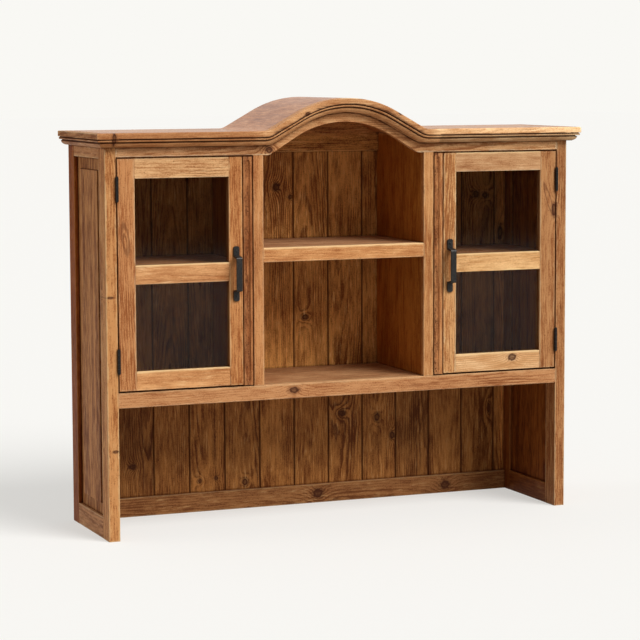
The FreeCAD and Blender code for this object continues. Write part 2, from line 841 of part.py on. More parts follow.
def hinge_leaf(middle, side, owned, bore):
    """A leaf with its knuckles; owned says which knuckles are its own."""
    axis = point(-hinge_axis_x, hinge_axis_y, 0)
    bottom = middle - hinge_length / 2
    step = hinge_length / knuckle_count
    leaf = leaf_plate(middle, side)
    for index in range(knuckle_count):
        low = bottom + index * step
        start = axis + point(0, 0, low)
        if index % 2 == owned:
            start = axis + point(0, 0, low + knuckle_gap / 2)
            leaf = leaf.fuse(Part.makeCylinder(barrel_radius, step - knuckle_gap, start))
        else:
            leaf = leaf.cut(Part.makeCylinder(barrel_radius + leaf_cut_clearance,
                                              step, start))
    leaf = leaf.cut(Part.makeCylinder(bore, hinge_length, axis + point(0, 0, bottom)))
    return leaf.removeSplitter()


def hinge_pin(middle):
    """A pin through one hinge, with a small rounded head at each end."""
    axis = point(-hinge_axis_x, hinge_axis_y, 0)
    bottom = middle - hinge_length / 2
    top = middle + hinge_length / 2
    parts = [Part.makeCylinder(pin_radius, hinge_length, axis + point(0, 0, bottom))]
    for base in (bottom - pin_head_height, top):
        head = Part.makeCylinder(pin_head_radius, pin_head_height,
                                 axis + point(0, 0, base))
        outer_z = base if base < bottom else base + pin_head_height
        rim = [edge for edge in head.Edges
               if abs(edge.BoundBox.ZMin - outer_z) < near
               and abs(edge.BoundBox.ZMax - outer_z) < near]
        parts.append(head.makeFillet(pin_head_height / 2, rim))
    return joined(parts)


def hinges():
    """Two butt hinges on each door: leg leaves, door leaves and pins."""
    running_bore = pin_radius + pin_running_clearance
    case_leaves = [hinge_leaf(middle, -1, 0, pin_radius) for middle in hinge_middles]
    door_leaves = [hinge_leaf(middle, 1, 1, running_bore) for middle in hinge_middles]
    pins = [hinge_pin(middle) for middle in hinge_middles]
    add_pair("door_hinge_leaves", Part.makeCompound(door_leaves))
    add("hinge_case_leaves", Part.makeCompound(
        case_leaves + [mirrored(leaf) for leaf in case_leaves]))
    add("hinge_pins", Part.makeCompound(pins + [mirrored(pin) for pin in pins]))


def catches():
    """Magnet under each cabinet shelf, and its plate on the back of the lock stile."""
    shelf_under = cabinet_shelf_top - board_thickness
    plate_x = -(door_lock_edge + (lock_stile_width - glass_rebate) / 2)
    plate_rear = door_thickness + catch_plate_thickness
    middle = shelf_under - catch_height / 2
    magnet = block(plate_x - catch_width / 2, plate_x + catch_width / 2,
                   plate_rear + catch_gap, plate_rear + catch_gap + catch_length,
                   shelf_under - catch_height, shelf_under)
    plate = block(plate_x - catch_plate_width / 2, plate_x + catch_plate_width / 2,
                  door_thickness, plate_rear,
                  middle - catch_plate_height / 2, middle + catch_plate_height / 2)
    add("door_catches", Part.makeCompound([magnet, mirrored(magnet)]))
    add_pair("catch_plate", plate)


# ---------------------------------------------------------------- build and write
def build():
    side_frame()
    partitions()
    strike_strips()
    deck()
    shelves()
    cleats()
    frieze()
    crown_front()
    crown_returns()
    tops()
    back_rails()
    back_boards()
    door()
    pulls()
    hinges()
    catches()


def write():
    """Move every piece to the finished origin and write one STEP file for each."""
    os.makedirs("parts", exist_ok=True)
    for name, shape in pieces.items():
        placed = shape.copy()
        placed.translate(point(0, -origin_y, 0))
        placed.exportStep(os.path.join("parts", name + ".step"))
        print(name, len(placed.Solids), "solid(s)", round(placed.Volume), "mm3")


build()
write()
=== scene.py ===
import json
import math
import random

import bmesh
import bpy
from mathutils import Matrix, Vector, noise
from mathutils.bvhtree import BVHTree

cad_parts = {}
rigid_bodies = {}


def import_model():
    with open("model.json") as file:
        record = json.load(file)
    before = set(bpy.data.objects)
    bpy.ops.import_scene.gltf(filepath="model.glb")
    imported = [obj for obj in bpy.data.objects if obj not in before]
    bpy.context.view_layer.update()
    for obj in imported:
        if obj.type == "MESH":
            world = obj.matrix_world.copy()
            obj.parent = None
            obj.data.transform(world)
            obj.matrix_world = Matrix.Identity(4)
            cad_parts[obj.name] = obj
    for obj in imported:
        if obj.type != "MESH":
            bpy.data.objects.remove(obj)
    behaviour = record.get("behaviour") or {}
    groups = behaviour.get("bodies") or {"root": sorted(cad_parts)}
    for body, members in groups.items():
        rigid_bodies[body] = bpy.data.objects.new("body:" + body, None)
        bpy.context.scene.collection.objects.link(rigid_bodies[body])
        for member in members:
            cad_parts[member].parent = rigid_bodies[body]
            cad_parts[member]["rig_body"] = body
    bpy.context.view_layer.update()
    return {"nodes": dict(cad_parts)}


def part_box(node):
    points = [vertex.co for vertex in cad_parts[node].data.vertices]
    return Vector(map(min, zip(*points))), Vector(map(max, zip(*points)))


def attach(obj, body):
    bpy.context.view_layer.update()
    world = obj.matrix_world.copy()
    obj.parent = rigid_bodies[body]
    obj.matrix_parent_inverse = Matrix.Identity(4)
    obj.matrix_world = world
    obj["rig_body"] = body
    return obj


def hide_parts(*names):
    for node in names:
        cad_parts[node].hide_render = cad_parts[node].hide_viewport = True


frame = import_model()

# Pine hutch with an arched crown. Metres; X to the right, Y to the back, Z up.
# Every wooden piece carries attributes that its finish reads:
#   board_at     place on the board: along the grain, across its face, through its thickness
#   board_half   half of the board's length, width and thickness
#   board_seed   three random numbers that set one board apart from the next
#   board_tone   what the board's colour is multiplied by; on the right door's lower rails it also paints highlight, and on the crown's right wing shade
#   board_grime  how closed in a place is, which is where dirt and old wax settle and where shade is
#   painted
stored = ("board_at", "board_half", "board_seed", "board_tone")
X, Y, Z = 0, 1, 2

# loops cut round a board this far from its ends and edges, so that wear can follow them
near_loop, far_loop = 0.0016, 0.006
clear_of_end, least_step = 0.004, 0.001
touching, most_shoulders, on_plane = 0.0005, 8, 1e-6
weld, smallest_edge, corners_per_metre = 2e-6, 1e-5, 200000
flat_within, corner_from = math.radians(0.5), math.radians(35)
same_way, back_to_back = 0.9, -0.99

# hinges: leaf faces lie on either side of the axis, and the screws sit behind the barrel
hinge_axis, leaf_face, screw_line = 0.7145, 0.0003, -0.158
hinge_middles = (0.531, 1.033)
screw_step, screw_proud = 0.022, 0.00018
iron_round, iron_unevenness = 0.0007, 0.0002

# inside of the case, where painted shade is laid: where it begins and ends, each as the span that
# it fades in over
inside_front, inside_rear = (-0.164, -0.140), (0.199, 0.203)
inside_side, inside_top = (0.728, 0.732), (1.165, 1.175)
deck_level = (0.40, 0.43)


# ---------------------------------------------------------------- shader arithmetic
class Value:
    """A socket of a material's tree that takes part in ordinary arithmetic."""

    def __init__(self, tree, socket):
        self.tree = tree
        self.socket = socket

    def maths(self, operation, *others):
        return self.tree.add("ShaderNodeMath", {"operation": operation}, *others)

    def __add__(self, other):
        return self.maths("ADD", self, other)

    def __sub__(self, other):
        return self.maths("SUBTRACT", self, other)

    def __rsub__(self, other):
        return self.maths("SUBTRACT", other, self)

    def __mul__(self, other):
        return self.maths("MULTIPLY", self, other)

    def __rtruediv__(self, other):
        return self.maths("DIVIDE", other, self)

    __radd__ = __add__
    __rmul__ = __mul__

    def at_least(self, other):
        return self.maths("MAXIMUM", self, other)

    def at_most(self, other):
        return self.maths("MINIMUM", self, other)

    def size(self):
        return self.maths("ABSOLUTE", self)

    def root(self):
        return self.maths("SQRT", self)

    def fraction(self):
        return self.maths("FRACT", self)

    def rise(self, low, high):
        """0 below low, 1 above high, and a smooth step between them."""
        settings = {"interpolation_type": "SMOOTHSTEP"}
        return self.tree.add("ShaderNodeMapRange", settings, self, low, high, 0.0, 1.0)


class Finish:
    """The nodes that the look of a material, or of the world, is made of."""

    def __init__(self, name, world=False):
        self.owner = (bpy.data.worlds if world else bpy.data.materials).new(name)
        self.owner.use_nodes = True
        self.nodes = self.owner.node_tree.nodes
        self.links = self.owner.node_tree.links
        self.nodes.clear()
        ending = "ShaderNodeOutputWorld" if world else "ShaderNodeOutputMaterial"
        self.output = self.nodes.new(ending)

    def feed(self, socket, value):
        """Link a value to a socket, or set the socket to a plain number or colour."""
        if isinstance(value, Value):
            self.links.new(value.socket, socket)
        else:
            socket.default_value = value

    def node(self, kind, settings, *values, **named):
        """A node with its settings, then the values or links of its sockets."""
        made = self.nodes.new(kind)
        for key, setting in settings.items():
            setattr(made, key, setting)
        for socket, value in zip(made.inputs, values):
            self.feed(socket, value)
        for key, value in named.items():
            self.feed(made.inputs[key], value)
        return made

    def add(self, kind, settings, *values, **named):
        return Value(self, self.node(kind, settings, *values, **named).outputs[0])

    def attribute(self, name):
        made = self.nodes.new("ShaderNodeAttribute")
        made.attribute_name = name
        return Value(self, made.outputs["Vector"])

    def place(self):
        made = self.nodes.new("ShaderNodeTexCoord")
        return Value(self, made.outputs["Object"])

    def parts(self, vector):
        made = self.node("ShaderNodeSeparateXYZ", {}, vector)
        return [Value(self, socket) for socket in made.outputs]

    def stretch(self, vector, scale):
        return self.add("ShaderNodeVectorMath", {"operation": "MULTIPLY"}, vector, scale)

    def shift(self, vector, by):
        return self.add("ShaderNodeVectorMath", {"operation": "ADD"}, vector, by)

    def length(self, vector):
        made = self.node("ShaderNodeVectorMath", {"operation": "LENGTH"}, vector)
        return Value(self, made.outputs["Value"])

    def dot(self, vector, by):
        made = self.node("ShaderNodeVectorMath", {"operation": "DOT_PRODUCT"}, vector, by)
        return Value(self, made.outputs["Value"])

    def cloud(self, vector, scales, detail=2.0, rough=0.5):
        """Soft noise, about 0.5 on average; a low scale draws it out that way."""
        return self.add("ShaderNodeTexNoise", {}, Vector=self.stretch(vector, scales),
                        Scale=1.0, Detail=detail, Roughness=rough)

    def board_noise(self, scales, detail=2.0, rough=0.5):
        """Soft noise that follows the board that it is on."""
        return self.cloud(self.own, scales, detail, rough)

    def blend(self, amount, first, second, mode="MIX"):
        """Colour mixed from first to second by amount."""
        made = self.node("ShaderNodeMix", {"data_type": "RGBA", "blend_type": mode})
        for index, value in ((0, amount), (6, first), (7, second)):
            self.feed(made.inputs[index], value)
        return Value(self, made.outputs[2])

    def bump(self, height, depth, strength=1.0):
        return self.add("ShaderNodeBump", {}, Strength=strength, Distance=depth,
                        Height=height)

    def surface(self, **named):
        """End in one plain shader with these sockets, and give back what it is the look of."""
        named = {key.replace("_", " "): value for key, value in named.items()}
        return self.ending(self.add("ShaderNodeBsdfPrincipled", {}, **named))

    def ending(self, shader):
        self.links.new(shader.socket, self.output.inputs[0])
        return self.owner


def shade(red, green, blue):
    """A colour as seen on a screen, 0 to 255, in the linear numbers a shader takes."""
    def linear(level):
        level /= 255.0
        if level <= 0.04045:
            return level / 12.92
        return ((level + 0.055) / 1.055) ** 2.4
    return (linear(red), linear(green), linear(blue), 1.0)


# ---------------------------------------------------------------- pine
# the last two colours here are painted light: a glint colour for the grain and a highlight colour
# for lit top edges; bare_wood is worn wood
bare_wood, painted_glint_colour, painted_highlight_colour = shade(255, 226, 176), shade(248, 208, 152), shade(252, 212, 154)
dark_stain, knot_brown, eye_brown = shade(84, 38, 12), shade(72, 34, 16), shade(92, 44, 22)
# dirt and painted shade in closed-in places; the redder colour paints bounce light in the deepest
# of them
dirt_shade_brown, deep_bounce_red = shade(66, 26, 8), shade(100, 40, 13)
ring_width = 0.0058


def read_board(wood):
    """Keep on the finish where a point lies, on its board and in the cupboard."""
    at = wood.attribute("board_at")
    wood.along, wood.across, wood.through = wood.parts(at)
    half_length, wood.half_width, half_thick = wood.parts(wood.attribute("board_half"))
    seed = wood.attribute("board_seed")
    wood.seeds = wood.parts(seed)
    wood.grime = wood.parts(wood.attribute("board_grime"))[0]
    wood.own = wood.shift(at, wood.stretch(seed, (17.0, 23.0, 29.0)))
    wood.spot = wood.place()
    wood.right, wood.rear, wood.up = wood.parts(wood.spot)
    from_end = half_length - wood.along.size()
    from_side = wood.half_width - wood.across.size()
    wood.from_face = half_thick - wood.through.size()
    nearest = from_side.at_most(wood.from_face)
    furthest = from_side.at_least(wood.from_face)
    wood.arris = nearest.at_least(furthest.at_most(from_end))


def lay_noises(wood, figure):
    """Keep on the finish the noises that its figure, stains and wear share."""
    fine = 110.0 * figure["fine"]
    wood.streak = wood.board_noise((figure["run"], fine, fine), 3.0, 0.6)
    wood.fibre = wood.board_noise((22.0, fine * 3.0, fine * 3.0), 3.0, 0.6)
    wood.grit = wood.board_noise((260.0, 330.0, 330.0))
    wood.mottle = wood.board_noise((11.0, 36.0, 36.0), 3.0, 0.62)
    wood.drift = wood.board_noise((2.6, 9.0, 9.0))
    wood.scuff = wood.board_noise((26.0, 150.0, 150.0), 3.0, 0.6)


def knot_field(wood, knots):
    """Nearness of the closest knot, 1 at its rim, over the board."""
    near = None
    for x, z, wide, tall in knots:
        away = wood.stretch(wood.shift(wood.spot, (-x, 0.0, -z)), (1 / wide, 0.0, 1 / tall))
        away = wood.length(away)
        near = away if near is None else near.at_most(away)
    cells = wood.node("ShaderNodeTexVoronoi", {}, Vector=wood.stretch(wood.own, (3.2, 9.5, 4.0)),
                      Scale=1.0, Randomness=1.0)
    chosen = wood.parts(Value(wood, cells.outputs["Color"]))[0].rise(0.90, 0.91)
    pin_knot = Value(wood, cells.outputs["Distance"]) * 21.0 + (1.0 - chosen) * 60.0
    near = pin_knot if near is None else near.at_most(pin_knot)
    ragged = wood.board_noise((90.0, 130.0, 130.0))
    return near + (ragged - 0.5) * 0.7


def eye_lines(wood, eyes):
    """Thin dark outlines of long knots that the saw only brushed."""
    lines = None
    for x, z, wide, tall, lean in eyes:
        from_eye = wood.shift(wood.spot, (-x, 0.0, -z))
        side = wood.dot(from_eye, (math.cos(lean) / wide, 0.0, math.sin(lean) / wide))
        rise = wood.dot(from_eye, (-math.sin(lean) / tall, 0.0, math.cos(lean) / tall))
        away = (side * side + rise * rise).root() + (wood.scuff - 0.5) * 0.5
        line = 1.0 - (away - 1.0).size().rise(0.10, 0.42)
        lines = line if lines is None else lines.at_least(line)
    return lines


# how strongly each part of the figure shows, how far a streak runs (1/m), how fine the
# figure is across the grain, how brown the wood is between streaks, how stained it is
plank = {"rings": 0.50, "streaks": 1.30, "fibres": 1.8, "grit": 1.6, "clouds": 1.5, "run": 5.0,
         "fine": 0.75, "brown": 0.44, "stain": 1.0}
calm_plank = {"rings": 0.10, "streaks": 0.9, "fibres": 1.1, "grit": 1.2, "clouds": 1.4,
              "run": 5.0, "fine": 0.8, "brown": 0.42, "stain": 0.6}
stile_plank = {**plank, "streaks": 1.8, "fibres": 2.7}
post_plank = {**calm_plank, "streaks": 1.5, "fibres": 2.1}
side_plank = {"rings": 0.30, "streaks": 3.2, "fibres": 2.6, "grit": 0.8, "clouds": 0.7,
              "run": 1.6, "fine": 0.36, "brown": 0.44, "stain": 1.0}
long_plank = {"rings": 0.40, "streaks": 1.2, "fibres": 1.5, "grit": 1.0, "clouds": 1.6,
              "run": 2.4, "fine": 0.8, "brown": 0.44, "stain": 1.0}


def late_wood(wood, pull):
    """Dark rings round a heart that lies behind the board and leans along it."""
    seed_a, seed_b, seed_c = wood.seeds
    sway = wood.board_noise((1.6, 5.0, 5.0))
    ripple = wood.board_noise((14.0, 55.0, 55.0), 3.0, 0.6)
    heart_x = wood.across + (seed_a - 0.5) * 0.10 + (sway - 0.5) * 0.040
    heart_y = wood.through + 0.030 + seed_b * 0.05 + wood.along * (seed_c - 0.5) * 0.12
    radius = (heart_x * heart_x + heart_y * heart_y).root()
    radius = radius + (ripple - 0.5) * 0.0065 + pull * 0.024
    ring = (radius * (1 / ring_width)).fraction()
    return ring.rise(0.30, 0.88) * (1.0 - ring.rise(0.90, 1.0))


def grain_colour(wood, tones, figure, late, near, pull):
    """Rings, streaks, fibres, grit and clouds, with stains in the darkest of them and painted
    glints on the palest.
    """
    pale, brown, deep = tones
    shown = wood.drift.rise(0.35, 0.65) * 0.9 + 0.4
    grain = (late - 0.4) * (pull * 0.6 + shown * figure["rings"])
    grain = grain + (wood.streak - 0.5) * figure["streaks"]
    grain = grain + (wood.fibre - 0.5) * figure["fibres"] + (wood.grit - 0.5) * figure["grit"]
    grain = grain + ((wood.mottle - 0.5) * 1.2 + (wood.drift - 0.5)) * figure["clouds"]
    grain = (grain + figure["brown"]).at_least(0.0).at_most(1.0)
    colour = wood.blend(grain, pale, brown)
    rim = near.rise(0.6, 0.95) * (1.0 - near.rise(1.0, 1.8))
    stain = wood.mottle.rise(0.56, 0.80) * wood.streak.rise(0.42, 0.62) * 0.45 + rim * 0.45
    stain = stain + wood.grit.rise(0.62, 0.74) * wood.fibre.rise(0.46, 0.62) * 0.9
    stain = stain + wood.streak.rise(0.64, 0.74) * wood.fibre.rise(0.40, 0.60) * 0.35
    stain = stain + late * wood.drift.rise(0.50, 0.68) * 0.35
    colour = wood.blend((stain * figure["stain"]).at_most(0.9), colour, deep)
    # painted glints: small highlights where the fibres are palest
    glint = (1.0 - wood.fibre.rise(0.30, 0.44)) * (1.0 - wood.mottle.rise(0.40, 0.60))
    return wood.blend(glint * 0.40, colour, painted_glint_colour)


def worn_arrises(wood, colour, deep, nick, wear, painted_top_highlight):
    """Wax worn thin along the arrises, with a few dings, and the board's tone; where asked, a
    painted highlight along the top edge.
    """
    rubbed = 1.0 - (wood.arris - (wood.scuff - 0.45) * 0.014).rise(0.0006, 0.0040)
    rubbed = rubbed * (1.0 - wood.grime.rise(0.06, 0.25)) * (wear * 0.4 if painted_top_highlight else wear)
    colour = wood.blend(rubbed, colour, bare_wood)
    colour = wood.blend(nick * 0.6, colour, deep)
    colour = wood.blend(1.0, colour, wood.attribute("board_tone"), "MULTIPLY")
    if not painted_top_highlight:
        return colour
    # painted highlight: the top edge is lightened as if lit from above
    from_top = wood.half_width - wood.across
    upper = 1.0 - (from_top - (wood.scuff - 0.45) * 0.008).rise(0.0010, 0.0060)
    upper = upper * (1.0 - wood.grime.rise(0.30, 0.60)) * painted_top_highlight
    return wood.blend(upper, colour, painted_highlight_colour)


def painted_inside_shading(wood, colour, inside, beneath):
    """Painted shade inside the case, and deeper painted shade under the deck; factors above 1 paint
    light instead.
    """
    shaded_inside = wood.rear.rise(*inside_front) * (1.0 - wood.right.size().rise(*inside_side))
    shaded_inside = shaded_inside * (1.0 - wood.up.rise(*inside_top))
    shaded_inside = shaded_inside * (1.0 - wood.rear.rise(*inside_rear))
    shade_in = wood.blend(wood.up.rise(*deck_level), beneath, inside)
    return wood.blend(shaded_inside, colour, wood.blend(1.0, colour, shade_in, "MULTIPLY"))


def settled_dirt_and_shade(wood, dirt_and_shade_gain, seams, shoulder):
    """Dirt and painted shade in what is closed in, dark joints between the boards of a back, and
    painted shade on a panel's shoulder.
    """
    dirt_and_shade = wood.grime * dirt_and_shade_gain + (wood.scuff - 0.5) * 0.5 * wood.grime.rise(0.02, 0.20)
    dirt_and_shade = dirt_and_shade.rise(0.18, 0.80)
    if seams:
        first, pitch = seams
        away = (((wood.right - first) * (1 / pitch) + 0.5).fraction() - 0.5).size() * pitch
        crack = 1.0 - (away - (wood.scuff - 0.4) * 0.0020).rise(0.0016, 0.0042)
        dirt_and_shade = dirt_and_shade.at_least(crack * 0.85)
    # painted shade along a panel's shoulder, in the recess beside its frame
    if shoulder:
        edge = wood.from_face.rise(0.0004, 0.0014)
        edge = edge * (1.0 - wood.from_face.rise(0.0060, 0.0068) * 0.8)
        dirt_and_shade = dirt_and_shade.at_least(edge * (wood.scuff + 0.4).at_most(1.0) * shoulder)
    return dirt_and_shade


def stain_and_shade_band(wood, colour, strength):
    """The dark, eaten band along a strip's flute, partly stain and partly painted shade, set
    towards its left side.
    """
    band = 1.0 - (wood.across + 0.005).size().rise(0.004, 0.012)
    patchy = wood.board_noise((24.0, 90.0, 60.0), 2.0, 0.6)
    eaten = wood.board_noise((190.0, 260.0, 190.0), 1.0)
    eaten = (eaten * 2.4 - 0.6).at_least(0.40).at_most(1.0)
    band = band * (patchy * 4.2 - 1.35).at_least(0.15).at_most(1.0) * eaten
    return wood.blend(band * strength, colour, dark_stain)


def pine(name, pale, brown, deep, knots=(), eyes=(), figure=plank, wear=0.5, painted_top_highlight=0.0,
         inside=(1.0, 1.0, 1.0, 1.0), beneath=(1.0, 1.0, 1.0, 1.0), recess_stain_and_shade=0.0,
         shoulder=0.0, seams=(), dirt_and_shade_gain=1.35, gloss=0.14, coat=0.0, rough_level=0.55):
    """Waxed, worn pine. knots are (x, z, half width, half height) as seen from the front."""
    wood = Finish(name)
    read_board(wood)
    lay_noises(wood, figure)
    near = knot_field(wood, knots)
    knot = 1.0 - near.rise(0.78, 1.05)
    pull = 1.0 / (1.0 + near * near * 0.45)
    late = late_wood(wood, pull)
    nick = (1.0 - wood.arris.rise(0.002, 0.007)) * wood.scuff.rise(0.62, 0.72)

    colour = grain_colour(wood, (pale, brown, deep), figure, late, near, pull)
    colour = worn_arrises(wood, colour, deep, nick, wear, painted_top_highlight)
    colour = painted_inside_shading(wood, colour, inside, beneath)
    if recess_stain_and_shade:
        colour = stain_and_shade_band(wood, colour, recess_stain_and_shade)
    dirt_and_shade = settled_dirt_and_shade(wood, dirt_and_shade_gain, seams, shoulder)
    # dirt and painted shade: dark brown where half closed in, redder in the deepest places as
    # painted bounce light
    dirt_shade_colour = wood.blend(wood.grime.rise(0.70, 0.95), dirt_shade_brown, deep_bounce_red)
    colour = wood.blend(dirt_and_shade * 0.85, colour, dirt_shade_colour)
    if eyes:
        colour = wood.blend(eye_lines(wood, eyes) * 0.5, colour, eye_brown)
    colour = wood.blend(knot * (near.rise(0.30, 0.70) * 0.20 + 0.74), colour, knot_brown)

    relief = wood.fibre * 0.6 - late * 0.30 + wood.grit * 0.35 - knot * 0.4 - nick * 0.8
    rough = (wood.fibre - 0.5) * 0.22 + knot * 0.10 + (wood.mottle - 0.5) * 0.14 + rough_level
    rough = rough + dirt_and_shade * 0.3
    return wood.surface(Base_Color=colour, Roughness=rough, Specular_IOR_Level=gloss,
                        Coat_Weight=coat, Coat_Roughness=0.12,
                        Normal=wood.bump(relief, 0.0008, 0.6))


def black_iron(name, dull, bare):
    """Hand-forged iron, blackened, a little brighter where it is handled."""
    iron = Finish(name)
    spot = iron.place()
    hammer = iron.cloud(spot, (260.0, 260.0, 260.0))
    grit = iron.cloud(spot, (1400.0, 1400.0, 1400.0))
    colour = iron.blend(hammer.rise(0.35, 0.75), dull, bare)
    rough = 0.42 + (grit - 0.5) * 0.3 + (hammer - 0.5) * 0.2
    return iron.surface(Base_Color=colour, Roughness=rough, Metallic=0.55,
                        Normal=iron.bump(hammer + grit * 0.3, 0.0007, 0.6))


def zinc():
    plate = Finish("zinc_plate")
    brushed = plate.cloud(plate.place(), (60.0, 900.0, 900.0))
    colour = plate.blend(brushed, shade(150, 150, 148), shade(196, 196, 192))
    return plate.surface(Base_Color=colour, Metallic=1.0, Roughness=0.30 + brushed * 0.2)


def brown_plastic():
    case = Finish("brown_plastic")
    speck = case.cloud(case.place(), (900.0, 900.0, 900.0))
    colour = case.blend(speck, shade(66, 42, 26), shade(84, 56, 36))
    return case.surface(Base_Color=colour, Roughness=0.5 + (speck - 0.5) * 0.2,
                        Normal=case.bump(speck, 0.0002, 0.4))


def window_glass():
    """Thin clear glass with a faint film of wax and dust."""
    glass = Finish("window_glass")
    spot = glass.place()
    film = glass.cloud(spot, (7.0, 7.0, 4.0), 3.0, 0.6)
    wipe = glass.cloud(spot, (60.0, 60.0, 9.0))
    return glass.surface(Base_Color=shade(30, 22, 14), Specular_IOR_Level=0.8,
                         Roughness=0.03 + film * 0.05 + wipe * 0.02,
                         Alpha=0.13 + (film - 0.5) * 0.06)


# ---------------------------------------------------------------- boards
def everything_solid():
    """One search tree over all the solids, and the name of the node of each face in it."""
    places, faces, names = [], [], []
    for name, node in frame["nodes"].items():
        first = len(places)
        places += [vert.co.copy() for vert in node.data.vertices]
        faces += [[first + index for index in face.vertices] for face in node.data.polygons]
        names += [name] * len(node.data.polygons)
    return BVHTree.FromPolygons(places, faces), names


solids, face_nodes = everything_solid()
boxes = {name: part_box(name) for name in frame["nodes"]}
golden_turn = math.pi * (3 - math.sqrt(5))


def all_round(count):
    """Directions spread evenly over a sphere."""
    spread = []
    for index in range(count):
        height = 1 - 2 * (index + 0.5) / count
        wide = math.sqrt(1 - height * height)
        spread.append(Vector((math.cos(golden_turn * index) * wide,
                              math.sin(golden_turn * index) * wide, height)))
    return spread


looks = all_round(32)
dirt_and_shade_reach, dirt_and_shade_fade = 0.011, 0.4
joint_width, tight_joint = 0.0008, 0.34
off_surface, past_hit, glancing = 0.0003, 0.00002, 0.15
seep_reach, seep_passes = 0.0035, 3


def closed_in(place, normal, node):
    """How much of what a point of a node looks out at is close by: 0 open, 1 walled in."""
    seen = blocked = 0.0
    for look in looks:
        facing = look.dot(normal)
        if facing < glancing:
            continue
        seen += facing
        start = place + normal * off_surface
        left = dirt_and_shade_reach
        while left > 0:
            hit, side, face, away = solids.ray_cast(start, look, left)
            if hit is None:
                break
            gone = dirt_and_shade_reach - left + away
            if side.dot(look) < 0:
                shut = tight_joint if gone < joint_width else 1 - dirt_and_shade_fade * gone / dirt_and_shade_reach
                blocked += facing * shut
                break
            if left == dirt_and_shade_reach and face_nodes[face] != node:
                blocked += facing * tight_joint
                break
            start = hit + look * past_hit
            left -= away + past_hit
    return blocked / seen if seen else 0.0


def along_grain(point, grain, wide):
    """A point's coordinates along the grain, across the face and through the board."""
    thick = 3 - grain - wide
    return Vector((point[grain], point[wide], point[thick]))


def islands(bm):
    """The separate boards of a mesh, each as its vertices."""
    left = set(bm.verts)
    found = []
    for first in list(bm.verts):
        if first not in left:
            continue
        left.remove(first)
        reach = [first]
        board = [first]
        while reach:
            for edge in reach.pop().link_edges:
                for vert in edge.verts:
                    if vert in left:
                        left.remove(vert)
                        reach.append(vert)
                        board.append(vert)
        found.append(board)
    return found


def box_of(points):
    low = Vector([min(p[i] for p in points) for i in range(3)])
    high = Vector([max(p[i] for p in points) for i in range(3)])
    return low, high


def crossings(node, verts, axis, low, high):
    """Where a board's own shoulders and the edges of what it touches cross an axis."""
    found = {round(vert.co[axis] * 2, 3) / 2 for vert in verts
             if low[axis] + clear_of_end < vert.co[axis] < high[axis] - clear_of_end}
    if len(found) > most_shoulders:
        found = set()
    for other, (other_low, other_high) in boxes.items():
        if other == node or any(other_low[index] > high[index] + touching
                                or other_high[index] < low[index] - touching
                                for index in range(3)):
            continue
        for place in (other_low[axis], other_high[axis]):
            if low[axis] + clear_of_end < place < high[axis] - clear_of_end:
                found.add(round(place, 4))
    steps = []
    for place in sorted(found):
        steps += [place - far_loop, place - near_loop, place + near_loop, place + far_loop]
    return [step for step in steps if low[axis] + least_step < step < high[axis] - least_step]


def unit(axis):
    """A vector of length 1 along an axis."""
    return Vector([1.0 if index == axis else 0.0 for index in range(3)])


def cut_board(bm, verts, axis, places):
    """Loops round one board, square to an axis; returns the board's vertices."""
    geometry = set(verts)
    for vert in verts:
        geometry.update(vert.link_edges)
        geometry.update(vert.link_faces)
    geometry = list(geometry)
    normal = unit(axis)
    for place in places:
        geometry = bmesh.ops.bisect_plane(bm, geom=geometry, dist=on_plane,
                                          plane_co=normal * place, plane_no=normal)["geom"]
    return [item for item in geometry if isinstance(item, bmesh.types.BMVert)]


def prepare_boards(bm, node, grain, spacing, weave, tone, variation, lean, rng):
    """Cut loops into each board and store where its vertices lie on it."""
    at, half, seed, tint = [bm.verts.layers.float_vector.new(name) for name in stored]
    for board in islands(bm):
        low, high = box_of([vert.co for vert in board])
        size = high - low
        cross = [axis for axis in range(3) if axis != grain]
        wide = max(cross, key=lambda axis: size[axis])
        steps = [low[grain] + near_loop, low[grain] + far_loop, high[grain] - far_loop,
                 high[grain] - near_loop]
        place = low[grain] + spacing
        while place < high[grain] - spacing / 2:
            steps.append(place + rng.uniform(-0.2, 0.2) * spacing)
            place += spacing
        if not weave:
            steps += crossings(node, board, grain, low, high)
        board = cut_board(bm, board, grain, sorted(steps))
        for axis in cross:
            if not weave:
                board = cut_board(bm, board, axis, crossings(node, board, axis, low, high))
            for loop in (far_loop, near_loop):
                if size[axis] > 3 * loop:
                    board = cut_board(bm, board, axis, (low[axis] + loop, high[axis] - loop))
            if weave and axis == wide:
                rows = int(size[axis] / weave)
                board = cut_board(bm, board, axis, [low[axis] + size[axis] * row / rows
                                                    for row in range(1, rows)])
        middle = (low + high) / 2
        numbers = Vector([rng.random() for _ in range(3)])
        halves = along_grain(size / 2, grain, wide)
        lightness = 1 + (numbers.x - 0.5) * variation
        if lean is not None:
            numbers.z = lean
        for vert in board:
            vert[at] = along_grain(vert.co - middle, grain, wide)
            vert[half] = halves
            vert[seed] = numbers
            vert[tint] = Vector(tone(vert.co) if callable(tone) else tone) * lightness


def worn_edges(bm, grain, long_wear, end_wear):
    """Round the outer arrises, more along the grain than at the ends."""
    long_edges, end_edges = [], []
    for edge in bm.edges:
        if len(edge.link_faces) != 2 or edge.calc_face_angle_signed(0.0) < corner_from:
            continue
        run = edge.verts[1].co - edge.verts[0].co
        lengthwise = run.length > 0 and abs(run.normalized().dot(unit(grain))) > same_way
        (long_edges if lengthwise else end_edges).append(edge)
    rounded = []
    for edges, wear in ((long_edges, long_wear), (end_edges, end_wear)):
        edges = [edge for edge in edges if edge.is_valid]
        if not edges or not wear:
            continue
        made = bmesh.ops.bevel(bm, geom=edges, offset=wear, segments=2, profile=0.5,
                               affect="EDGES", clamp_overlap=True)
        rounded += [face for face in made["faces"] if face.is_valid]
    return rounded


